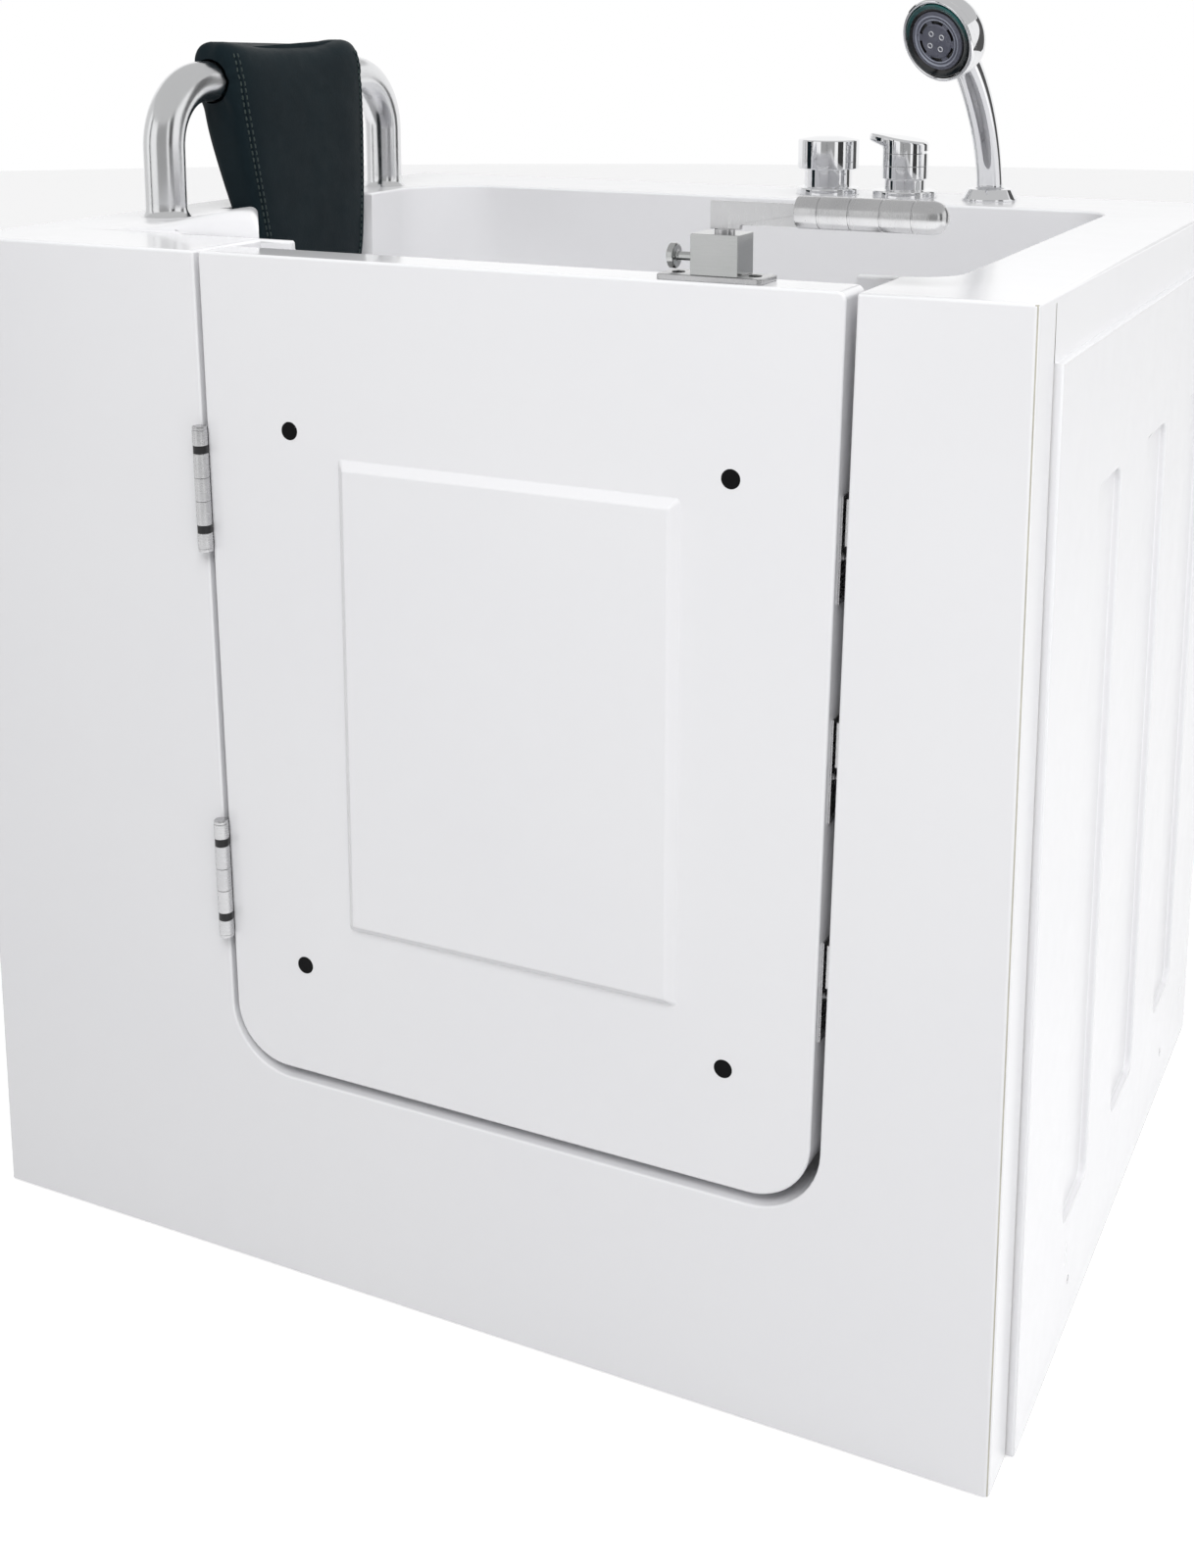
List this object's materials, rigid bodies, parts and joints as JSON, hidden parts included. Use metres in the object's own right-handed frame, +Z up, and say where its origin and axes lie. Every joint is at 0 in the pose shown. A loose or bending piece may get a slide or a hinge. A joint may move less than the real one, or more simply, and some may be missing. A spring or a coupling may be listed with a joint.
{
  "type": "walk in bathtub with door",
  "caption": "Deep seated bathtub with a side-hinged watertight door in its front, a lever latch, grab rail with headrest, deck taps and a hand shower.",
  "frame": {"origin": "middle of the outline, on the floor", "axes": "+Z up, -Y out of the front with the door, +X to the right seen from the front"},
  "size_m": [1.019, 0.8578, 1.1901],
  "materials": {
    "acrylic": "glossy white sanitary acrylic",
    "panel_white": "satin white moulded panel",
    "frame_steel": "stainless tube, brushed",
    "hardware_steel": "satin stainless steel",
    "black_plastic": "black moulded plastic",
    "seal_rubber": "dark grey rubber",
    "chrome": "polished chrome plate",
    "brass": "bare brass and copper",
    "ceramic": "cartridge body",
    "waste_plastic": "moulded waste fittings",
    "cushion": "soft black-teal upholstery"
  },
  "bodies": {
    "tub": {"tub_shell": "acrylic", "front_apron": "acrylic", "side_panel": "panel_white", "side_panel_screws": "hardware_steel", "frame_long_rails": "frame_steel", "frame_cross_rails": "frame_steel", "frame_posts": "frame_steel", "frame_top_rails": "frame_steel", "foot_pads": "black_plastic", "foot_studs": "frame_steel", "foot_locknuts": "frame_steel", "hinge_jamb_leaves": "hardware_steel", "hinge_pins": "hardware_steel", "hinge_bearings": "black_plastic", "jamb_screws": "hardware_steel", "keepers": "hardware_steel", "grab_rail": "chrome", "grab_rail_nuts": "hardware_steel", "mixer_body": "chrome", "mixer_cartridge": "ceramic", "mixer_valve_nut": "brass", "diverter_base": "chrome", "diverter_valve": "brass", "shower_dock": "chrome", "supply_pipes": "brass", "mixed_water_pipe": "brass", "filler_spout": "chrome", "overflow_body": "chrome", "overflow_pipe": "waste_plastic", "drain_flange": "chrome", "waste_trap": "waste_plastic"},
    "door": {"door_outer_shell": "acrylic", "door_inner_shell": "acrylic", "door_gasket": "seal_rubber", "door_plugs": "black_plastic", "door_bolts": "hardware_steel", "hinge_door_leaves": "hardware_steel", "door_edge_screws": "hardware_steel", "latch_face_strips": "hardware_steel", "latch_base_plate": "hardware_steel", "latch_plate_screws": "hardware_steel", "latch_housing": "hardware_steel", "latch_guides": "hardware_steel"},
    "latch_handle": {"latch_spindle": "hardware_steel", "latch_lever": "hardware_steel", "latch_grip": "hardware_steel"},
    "rack": {"latch_rack": "hardware_steel"},
    "bolts": {"lock_bar": "hardware_steel", "lock_pins": "hardware_steel"},
    "lock_button": {"lock_knob": "hardware_steel"},
    "mixer_swivel": {"mixer_hub": "chrome"},
    "mixer_handle": {"mixer_lever": "chrome"},
    "diverter_handle": {"diverter_knob": "chrome"},
    "handset": {"hand_shower": "chrome"},
    "spray_dial": {"spray_face": "black_plastic"},
    "headrest": {"headrest_pad": "cushion", "headrest_sleeve": "black_plastic"},
    "overflow_dial": {"overflow_knob": "chrome"},
    "stopper": {"drain_stopper": "chrome"}
  },
  "joints": [
    {"name": "door_swing", "type": "hinge", "parent": "tub", "child": "door", "pos_m": [-0.22562, -0.42218, 0.572], "axis": [0.019, 0, -0.9998], "range_deg": [0, 110]},
    {"name": "latch_lever_turn", "type": "hinge", "parent": "door", "child": "latch_handle", "pos_m": [0.253, -0.39258, 0.986], "axis": [0, 0, 1], "range_deg": [0, 90]},
    {"name": "latch_rack_slide", "type": "slide", "parent": "door", "child": "rack", "axis": [-1, 0, 0], "range_m": [0, 0.01885]},
    {"name": "lock_bar_slide", "type": "slide", "parent": "door", "child": "bolts", "axis": [0.019, 0, 0.9998], "range_m": [0, 0.01885]},
    {"name": "lock_button_push", "type": "slide", "parent": "door", "child": "lock_button", "axis": [1, 0, 0], "range_m": [0, 0.006]},
    {"name": "mixer_turn", "type": "hinge", "parent": "tub", "child": "mixer_swivel", "pos_m": [0.1615, 0.35992, 1.007], "axis": [0, 0, 1], "range_deg": [-50, 50]},
    {"name": "mixer_lift", "type": "hinge", "parent": "mixer_swivel", "child": "mixer_handle", "pos_m": [0.1795, 0.35992, 1.019], "axis": [0, 1, 0], "range_deg": [0, 25]},
    {"name": "diverter_turn", "type": "hinge", "parent": "tub", "child": "diverter_handle", "pos_m": [0.0705, 0.35992, 1.01], "axis": [0, 0, 1], "range_deg": [0, 120]},
    {"name": "hand_shower_lift", "type": "slide", "parent": "tub", "child": "handset", "axis": [0, 0, 1], "range_m": [0, 0.3]},
    {"name": "spray_select", "type": "hinge", "parent": "handset", "child": "spray_dial", "pos_m": [0.23886, 0.23877, 1.14418], "axis": [-0.3402, -0.891, -0.3007], "range_deg": [0, 120]},
    {"name": "headrest_tilt", "type": "hinge", "parent": "tub", "child": "headrest", "pos_m": [-0.4475, 0.02392, 1.098], "axis": [0, -1, 0], "range_deg": [0, 35]},
    {"name": "overflow_dial_turn", "type": "hinge", "parent": "tub", "child": "overflow_dial", "pos_m": [0.3955, -0.01507, 0.8], "axis": [1, 0, 0], "range_deg": [0, 90]},
    {"name": "stopper_lift", "type": "slide", "parent": "tub", "child": "stopper", "axis": [0, 0, 1], "range_m": [0, 0.01]}
  ],
  "couplings": [
    {"joint": "latch_rack_slide", "follows": "latch_lever_turn", "m_per_rad": 0.012},
    {"joint": "lock_bar_slide", "follows": "latch_lever_turn", "m_per_rad": 0.012},
    {"joint": "stopper_lift", "follows": "overflow_dial_turn", "m_per_rad": 0.006366}
  ]
}
